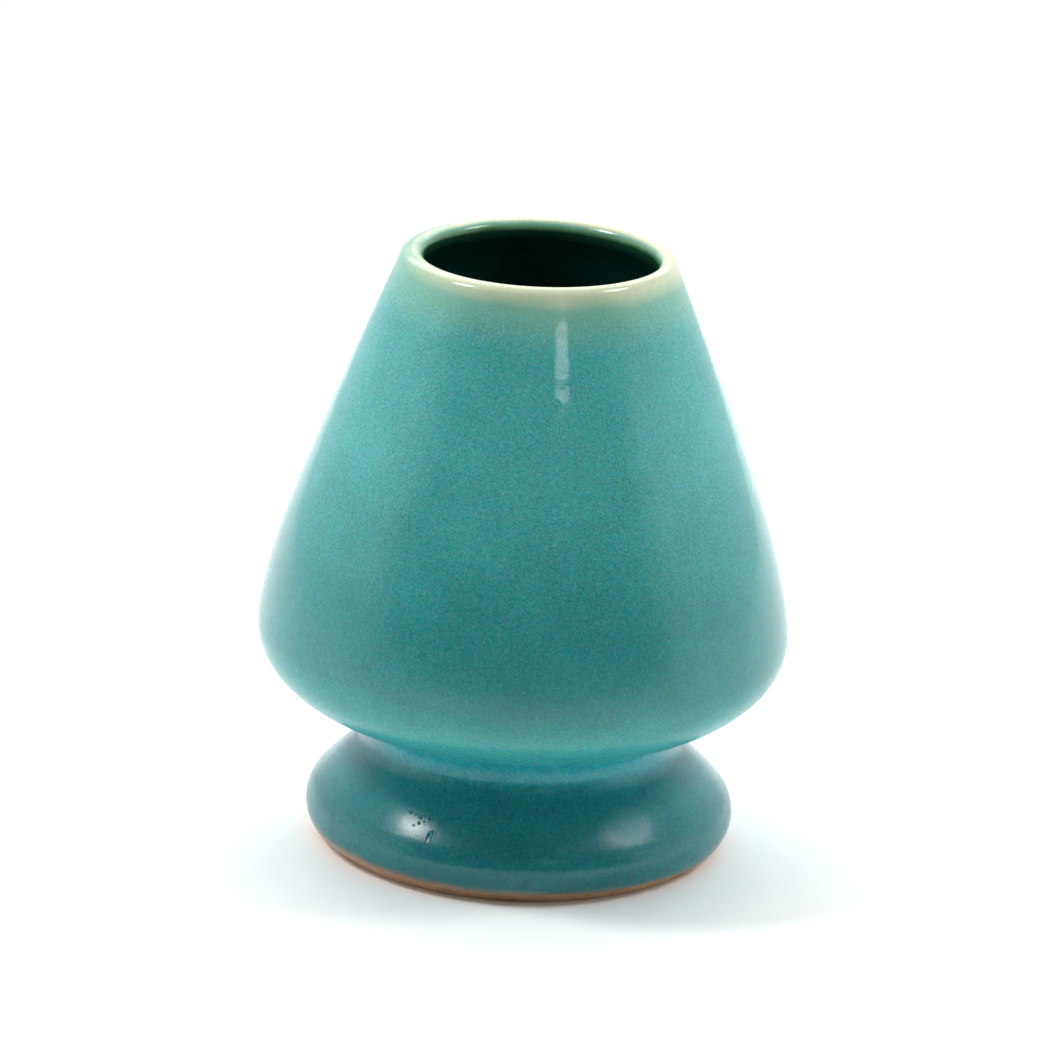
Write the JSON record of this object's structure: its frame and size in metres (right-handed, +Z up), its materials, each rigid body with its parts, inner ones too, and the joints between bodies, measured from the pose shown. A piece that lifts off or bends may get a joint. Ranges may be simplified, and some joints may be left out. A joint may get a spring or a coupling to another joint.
{
  "type": "tea whisk stand",
  "caption": "Glazed stoneware stand for a bamboo tea whisk: tapering hollow bulb with a round open mouth, narrow neck and flared hollow foot.",
  "frame": {"origin": "centre of the standing ring, on the surface that the stand rests on", "axes": "+Z up along the stand's turning axis, out of the open mouth; +X and +Y are free, because the stand is round"},
  "size_m": [0.063, 0.063, 0.072],
  "materials": {
    "clay": "bare fired stoneware, matt, with fine grog",
    "slip": "fired joining slip, matt",
    "glaze": "glossy turquoise, pale where thin over the lip, bluer where pooled, finely mottled",
    "liner": "glossy dark green",
    "recess": "glossy turquoise, thinner and darker under the foot"
  },
  "bodies": {
    "root": {"bulb": "clay", "foot": "clay", "luting_slip": "slip", "outer_glaze": "glaze", "liner_glaze": "liner", "recess_glaze": "recess"}
  },
  "joints": []
}
